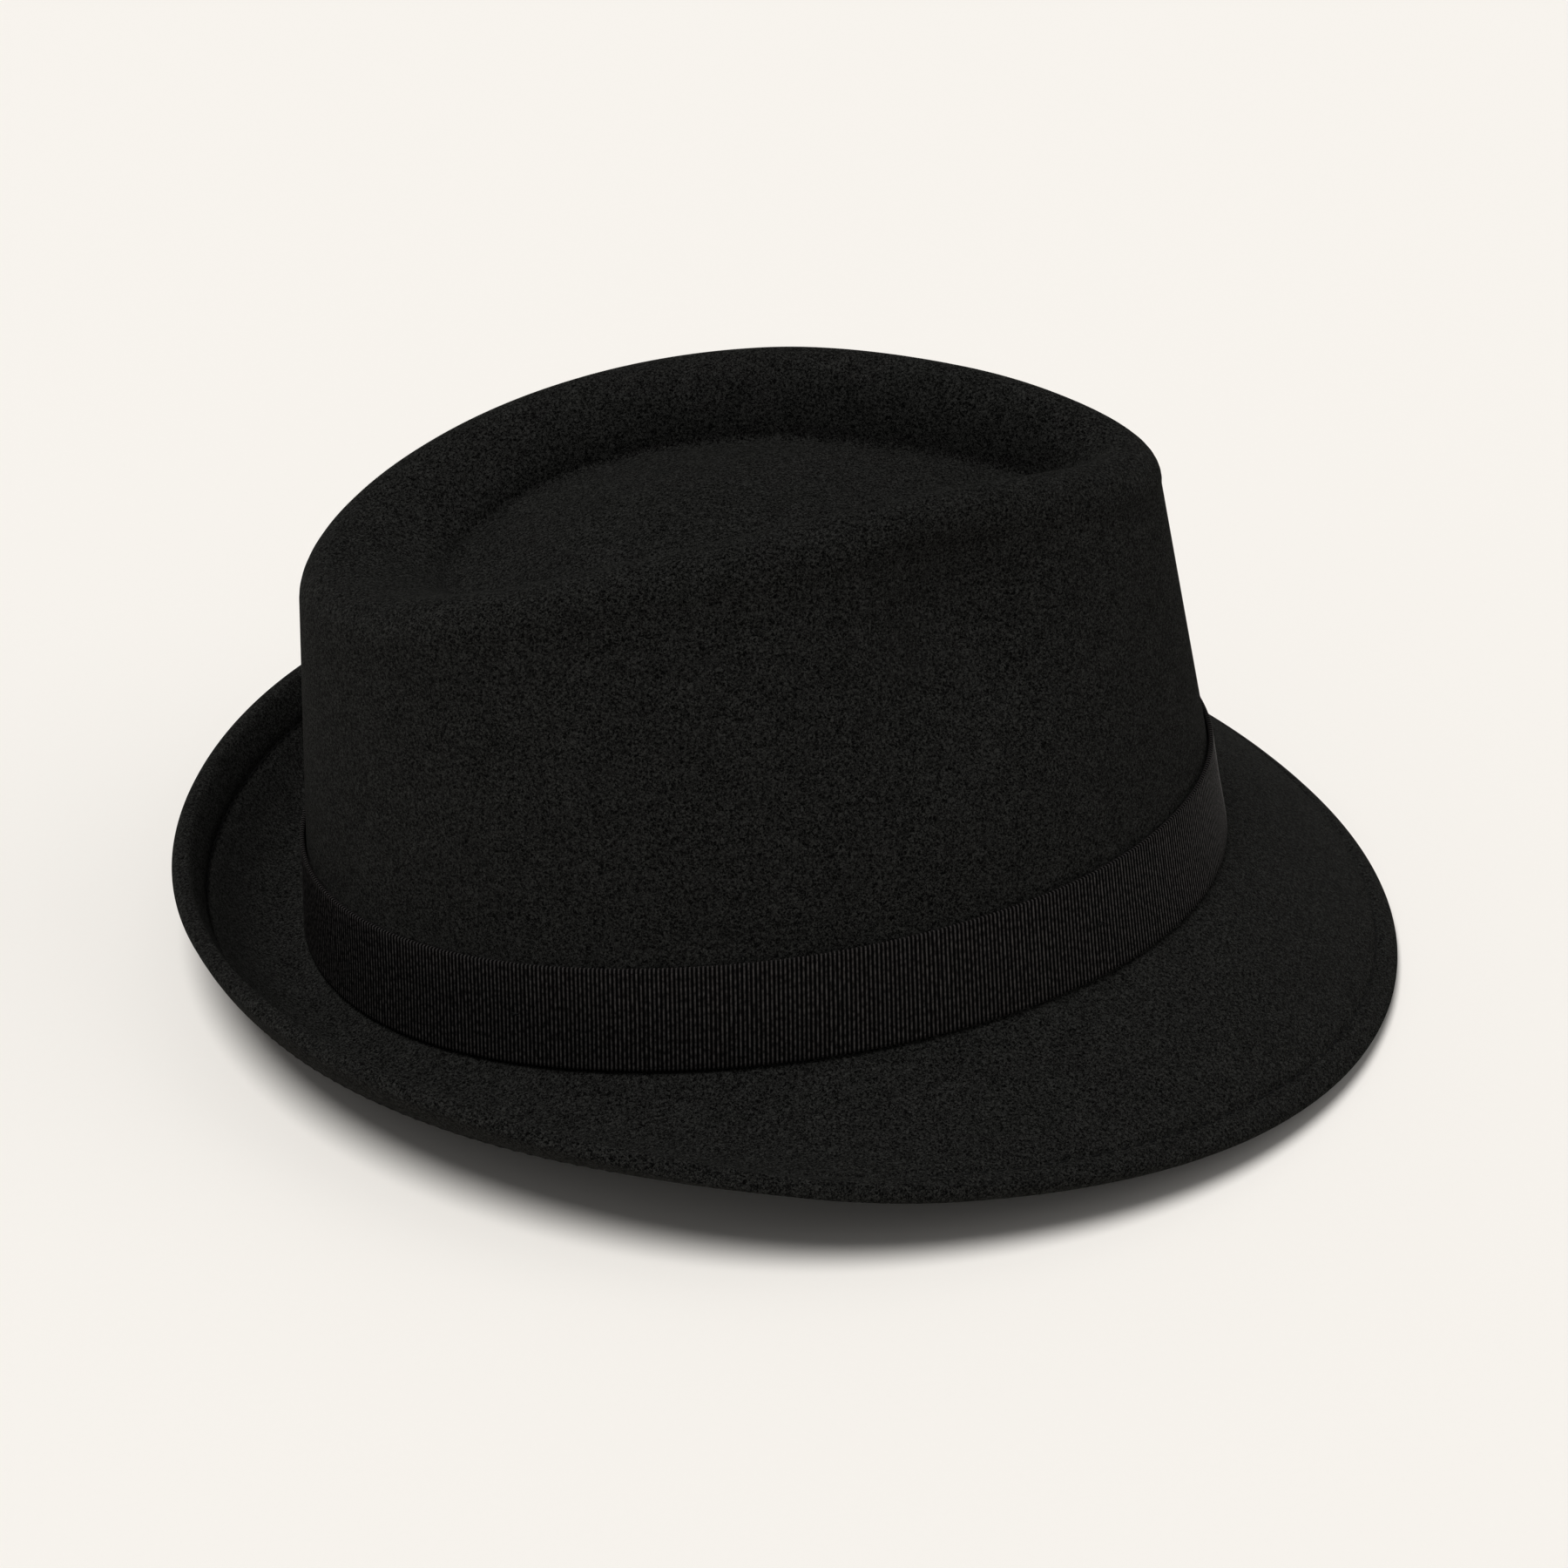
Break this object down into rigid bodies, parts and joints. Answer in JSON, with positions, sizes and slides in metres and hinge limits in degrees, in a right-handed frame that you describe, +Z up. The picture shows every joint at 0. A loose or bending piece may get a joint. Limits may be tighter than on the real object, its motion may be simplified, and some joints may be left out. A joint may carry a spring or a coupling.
{
  "type": "fedora hat",
  "caption": "Short-brimmed felt fedora with a teardrop crown, side pinches, snap-down front brim, stitched edge, ribbed band with flat bow, sweatband and satin lining.",
  "frame": {"origin": "on the table, under the middle of the hat's length and width", "axes": "+X to the front of the hat, +Y to the wearer's left, +Z up; the hat stands as it lies on a table"},
  "size_m": [0.2828, 0.2568, 0.1288],
  "materials": {
    "felt": "black wool felt, short soft nap",
    "ribbon": "black grosgrain, fine upright ribs",
    "thread": "black sewing thread",
    "sweatband": "dark brown-black grained leather",
    "lining": "black satin",
    "patch": "plain dark woven patch, no lettering",
    "label": "plain off-white woven tape, no lettering"
  },
  "bodies": {
    "hat": {"felt_body": "felt", "edge_stitching": "thread", "hatband": "ribbon", "bow_tail": "ribbon", "bow_front_loop": "ribbon", "bow_rear_loop": "ribbon", "bow_knot": "ribbon", "ribbon_tack_near_front": "thread", "ribbon_tack_near_rear": "thread", "ribbon_tack_far_front": "thread", "ribbon_tack_far_rear": "thread", "sweatband": "sweatband", "sweatband_reed": "ribbon", "sweatband_stitching": "thread", "lining_side": "lining", "lining_tip": "lining", "lining_patch": "patch", "size_label": "label"},
    "snap_brim": {"front_brim": "felt", "edge_stitching_front": "thread"},
    "label_flap": {"care_label": "label"}
  },
  "joints": [
    {"name": "brim_snap", "type": "hinge", "parent": "hat", "child": "snap_brim", "pos_m": [0.10109, 0, 0.02942], "axis": [0, -1, 0], "range_deg": [0, 50]},
    {"name": "label_swing", "type": "hinge", "parent": "hat", "child": "label_flap", "pos_m": [-0.10227, 0, 0.0398], "axis": [0, -1, 0], "range_deg": [0, 100]}
  ]
}
